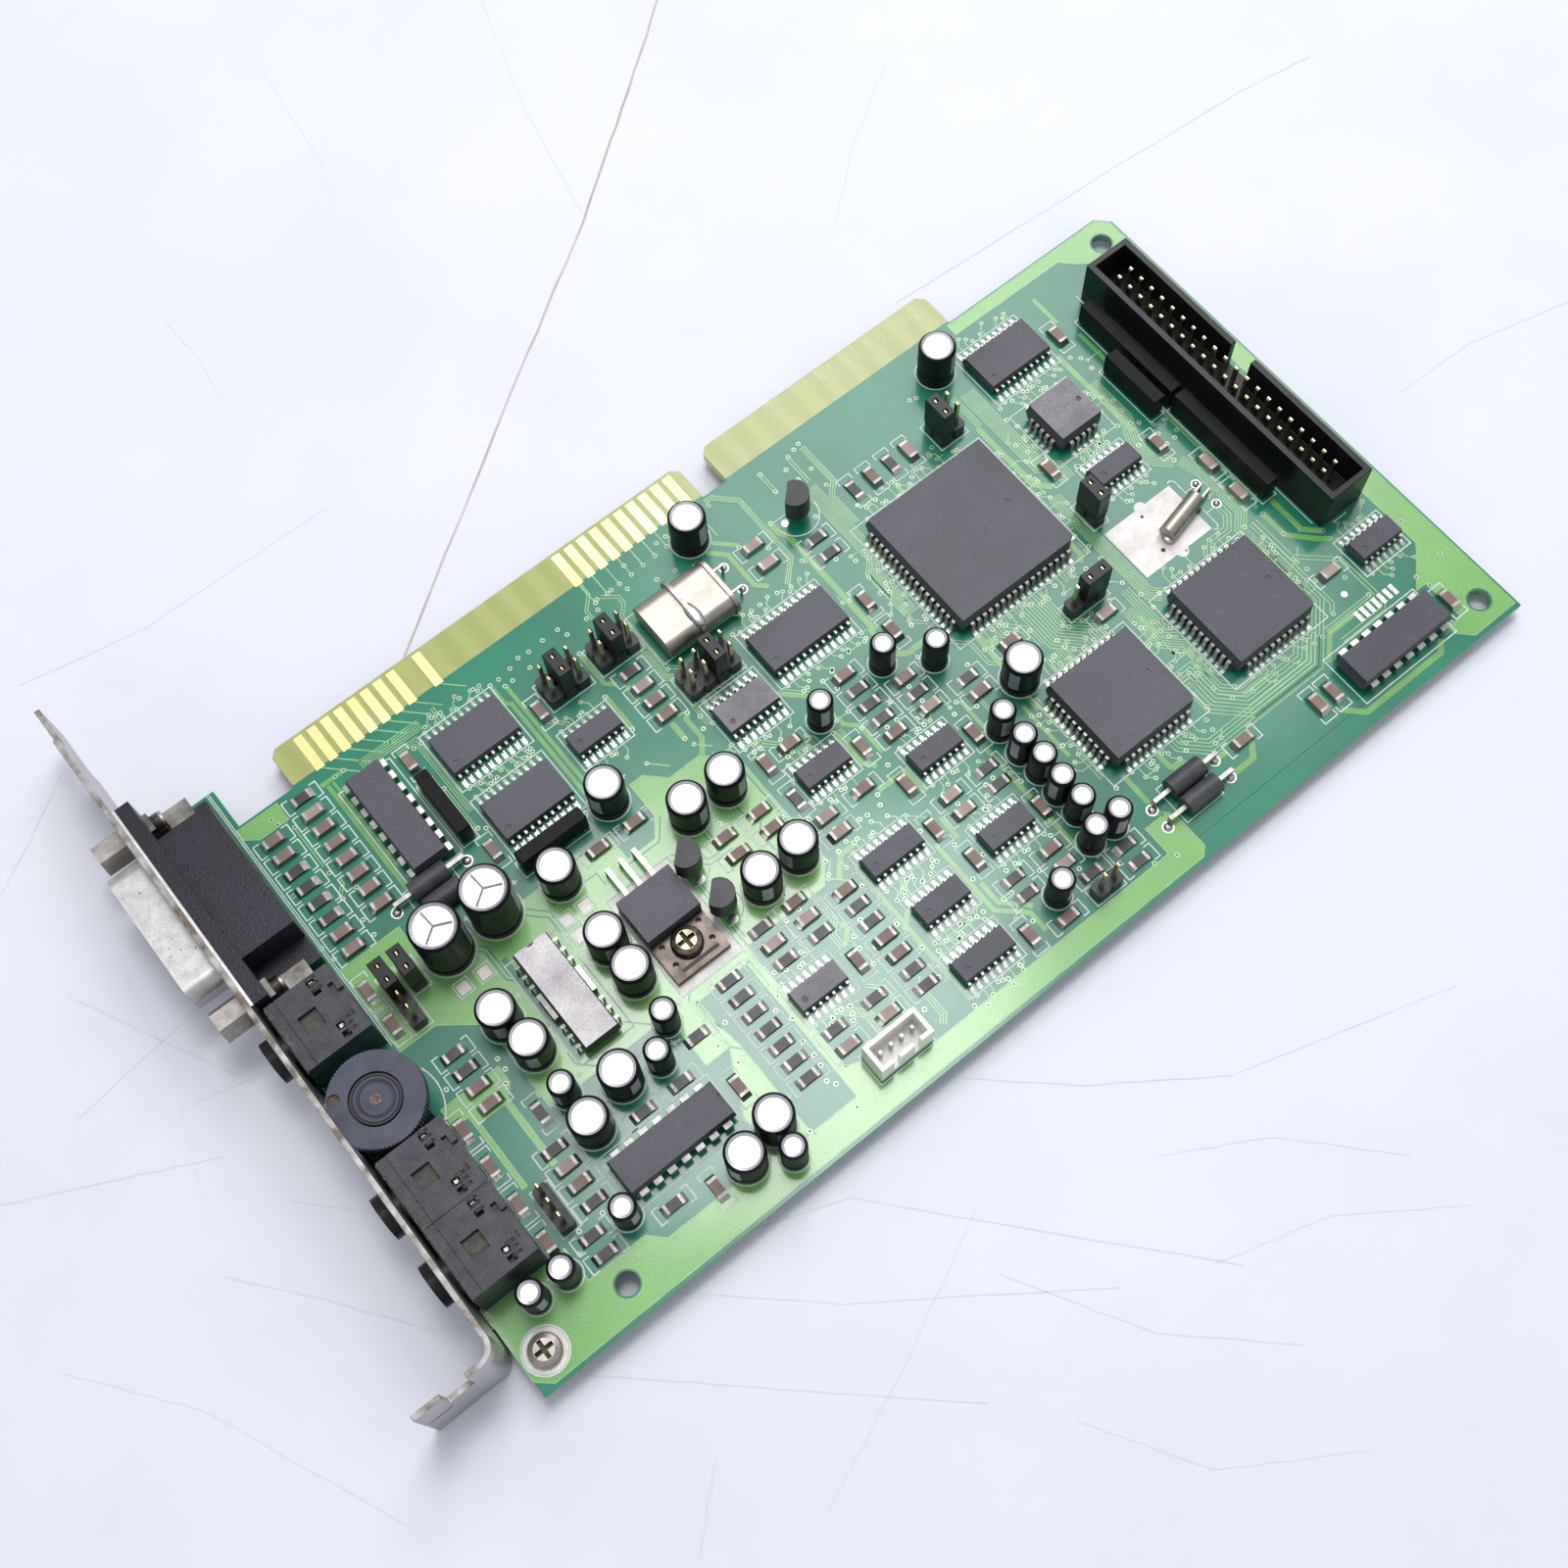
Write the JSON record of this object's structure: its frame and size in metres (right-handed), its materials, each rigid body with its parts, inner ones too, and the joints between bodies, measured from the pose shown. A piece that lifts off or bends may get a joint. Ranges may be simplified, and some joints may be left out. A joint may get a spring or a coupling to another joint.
{
  "type": "isa sound card",
  "caption": "Long sound card with two contact tongues, metal bracket, joystick port, audio jacks, volume wheel, box header and a board full of parts.",
  "frame": {"origin": "centre of the first contact at the root of its tongue, on the component side", "axes": "+X along the slot edge away from the bracket, +Y out of the board towards the slot, +Z away from the component side"},
  "size_m": [0.2079, 0.1305, 0.0184],
  "materials": {
    "laminate": "green coated glass laminate",
    "gold_plating": "gold plated",
    "bracket_steel": "plated sheet, dull with small stains",
    "screw_nickel": "nickel plated",
    "port_plastic": "black, fine grained",
    "shell_tin": "dull tinned, pitted",
    "contact_gold": "gold plated",
    "hex_nickel": "nickel plated, tarnished",
    "lock_steel": "plated",
    "jack_plastic": "black, dusty",
    "spring_tin": "tinned",
    "pot_plastic": "black",
    "shaft_steel": "plain",
    "wheel_plastic": "black, dusty",
    "wheel_screw_steel": "tarnished",
    "header_plastic": "black",
    "pin_gold": "pale gold plated",
    "wafer_nylon": "off-white",
    "wafer_tin": "tinned",
    "regulator_epoxy": "black on a tinned tab",
    "transistor_epoxy": "black",
    "crystal_nickel": "satin nickel",
    "strap_tin": "tinned",
    "watch_nickel": "satin nickel",
    "can_sleeve": "black sleeve, bright top",
    "network_epoxy": "black coat",
    "bead_ferrite": "dark grey",
    "jumper_plastic": "black",
    "resistor_glaze": "black glaze with tinned ends",
    "capacitor_ceramic": "brown with tinned ends",
    "solder": "bright solder",
    "chip_epoxy": "matte black moulding with tinned leads"
  },
  "bodies": {
    "card": {"circuit_board": "laminate", "edge_contacts": "gold_plating", "bracket": "bracket_steel", "pan_head_screws": "screw_nickel", "game_port_housing": "port_plastic", "game_port_shell": "shell_tin", "game_port_contacts": "contact_gold", "jackscrews": "hex_nickel", "port_board_locks": "lock_steel", "jack_line": "jack_plastic", "jack_microphone": "jack_plastic", "jack_speaker": "jack_plastic", "jack_contacts": "spring_tin", "volume_pot": "pot_plastic", "header_shroud": "header_plastic", "square_pins": "pin_gold", "wafer_housing": "wafer_nylon", "wafer_pins": "wafer_tin", "regulator": "regulator_epoxy", "small_transistors": "transistor_epoxy", "crystal_can": "crystal_nickel", "crystal_strap": "strap_tin", "watch_crystal": "watch_nickel", "large_capacitors": "can_sleeve", "medium_capacitors": "can_sleeve", "small_capacitors": "can_sleeve", "resistor_networks": "network_epoxy", "choke_beads": "bead_ferrite", "jumper_bases": "jumper_plastic", "jumper_caps": "jumper_plastic", "chip_resistors": "resistor_glaze", "chip_capacitors": "capacitor_ceramic", "header_joints": "solder", "solder_joints": "solder", "bus_controller": "chip_epoxy", "mixer_chip": "chip_epoxy", "processor_chip": "chip_epoxy", "logic_array": "chip_epoxy", "synthesis_chip": "chip_epoxy", "buffer_chip_1": "chip_epoxy", "buffer_chip_2": "chip_epoxy", "buffer_chip_3": "chip_epoxy", "converter_chip": "chip_epoxy", "filter_chip_1": "chip_epoxy", "filter_chip_2": "chip_epoxy", "gate_chip_1": "chip_epoxy", "gate_chip_2": "chip_epoxy", "gate_chip_3": "chip_epoxy", "gate_chip_4": "chip_epoxy", "gate_chip_5": "chip_epoxy", "gate_chip_6": "chip_epoxy", "gate_chip_7": "chip_epoxy", "gate_chip_8": "chip_epoxy", "timer_chip": "chip_epoxy", "power_amplifier": "chip_epoxy", "preamplifier": "chip_epoxy", "line_driver": "chip_epoxy"},
    "volume_control": {"volume_shaft": "shaft_steel", "volume_wheel": "wheel_plastic", "wheel_screw": "wheel_screw_steel"}
  },
  "joints": [
    {"name": "volume_turn", "type": "hinge", "parent": "card", "child": "volume_control", "pos_m": [-0.02, -0.0526, 0.0095], "axis": [0, 0, 1], "range_deg": [-135, 135]}
  ]
}
